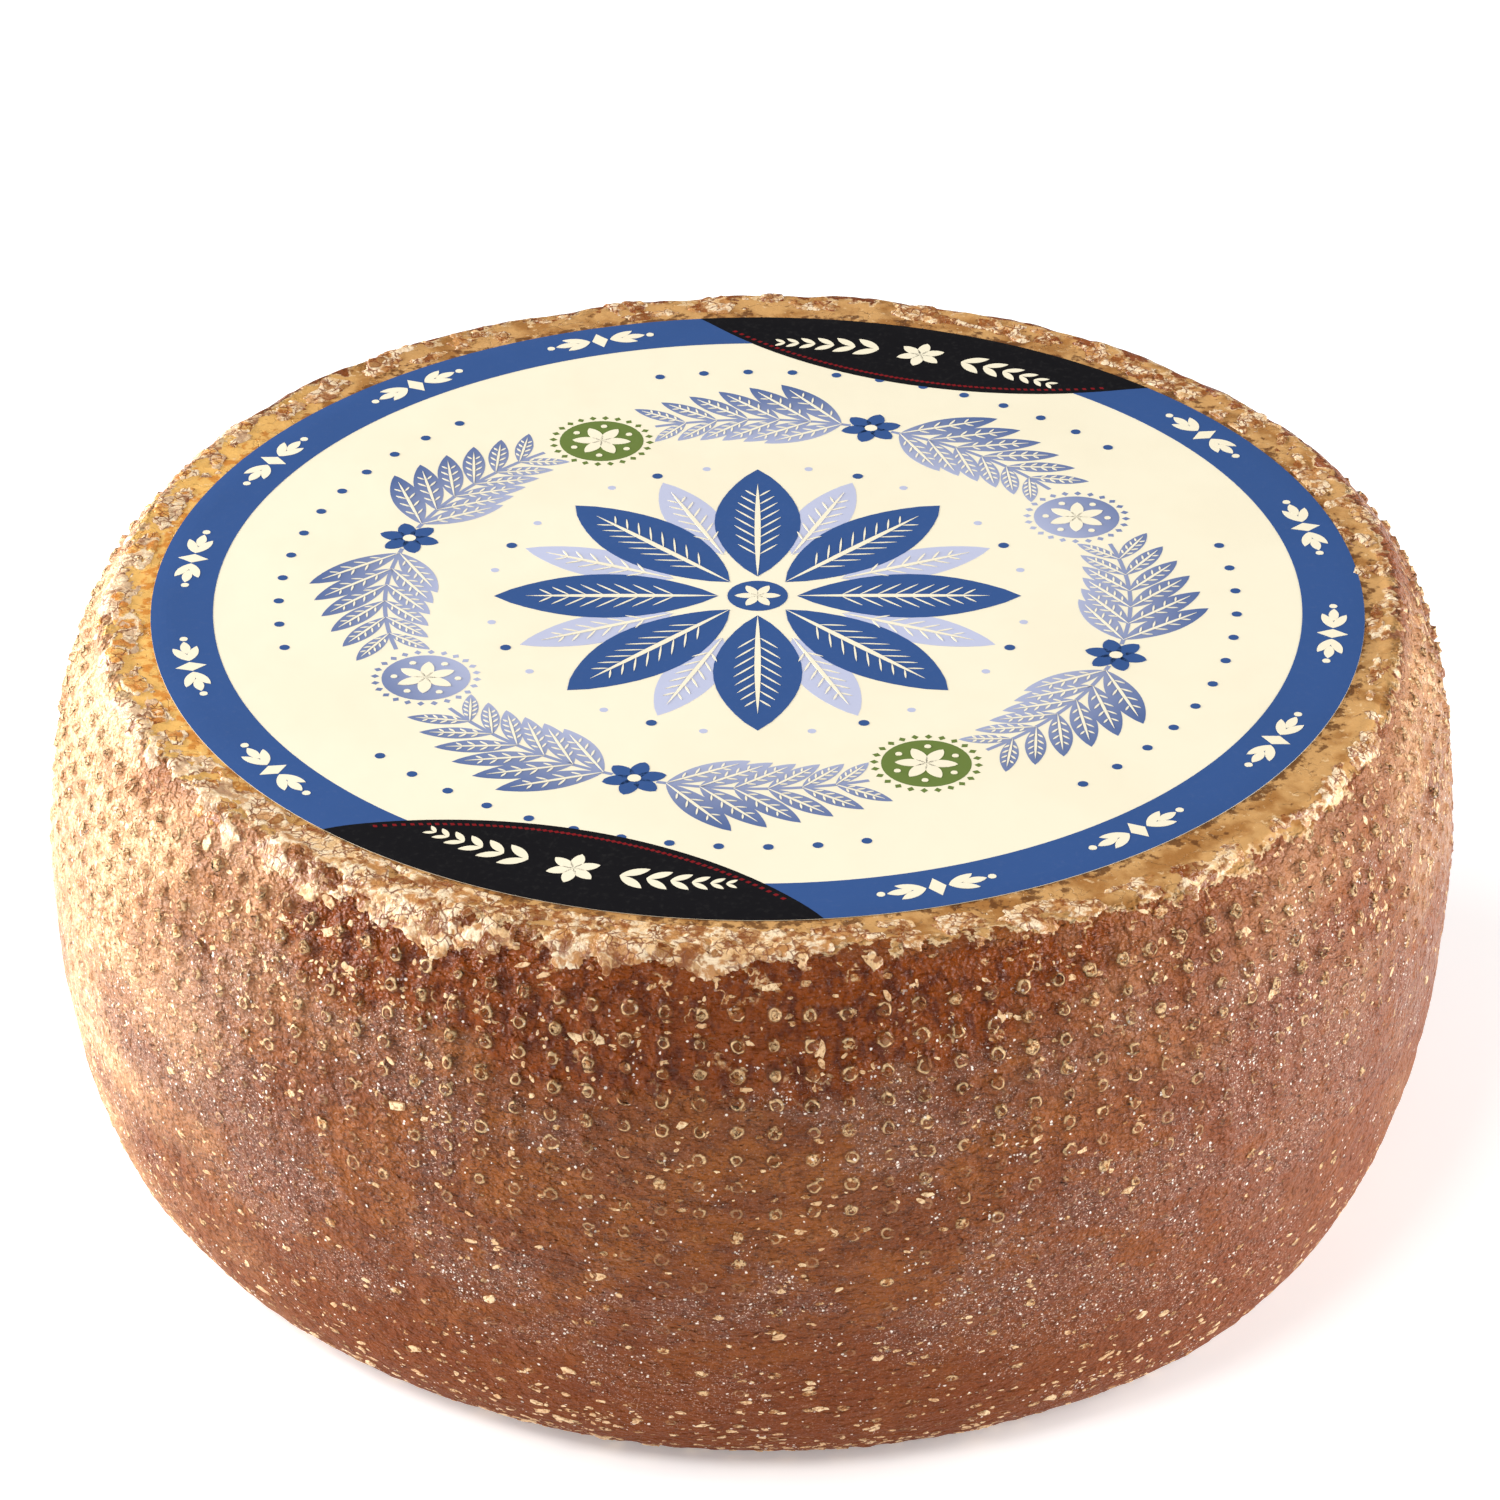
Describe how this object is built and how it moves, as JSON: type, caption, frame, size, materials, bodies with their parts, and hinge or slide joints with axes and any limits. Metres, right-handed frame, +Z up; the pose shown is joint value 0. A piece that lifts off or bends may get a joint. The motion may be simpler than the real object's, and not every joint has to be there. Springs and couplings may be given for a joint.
{
  "type": "alpine cheese wheel",
  "caption": "Whole drum-shaped wheel of hard alpine cheese with a bulging nubbed brown rind, a crusted shoulder and a round paper label on its flat top.",
  "frame": {"origin": "middle of the flat base, on the surface that the wheel rests on", "axes": "+Z up through the middle of the wheel to its labelled top, -Y towards the side that the picture shows, +X to the right"},
  "size_m": [0.2952, 0.3031, 0.1261],
  "materials": {
    "rind": "satin",
    "label_paper": "matt",
    "ink_blue": "matt",
    "ink_dark": "matt",
    "ink_red": "matt",
    "ink_lavender": "matt",
    "ink_green": "matt",
    "ink_cream": "matt"
  },
  "bodies": {
    "root": {"cheese_wheel": "rind", "paper_label": "label_paper"}
  },
  "joints": []
}
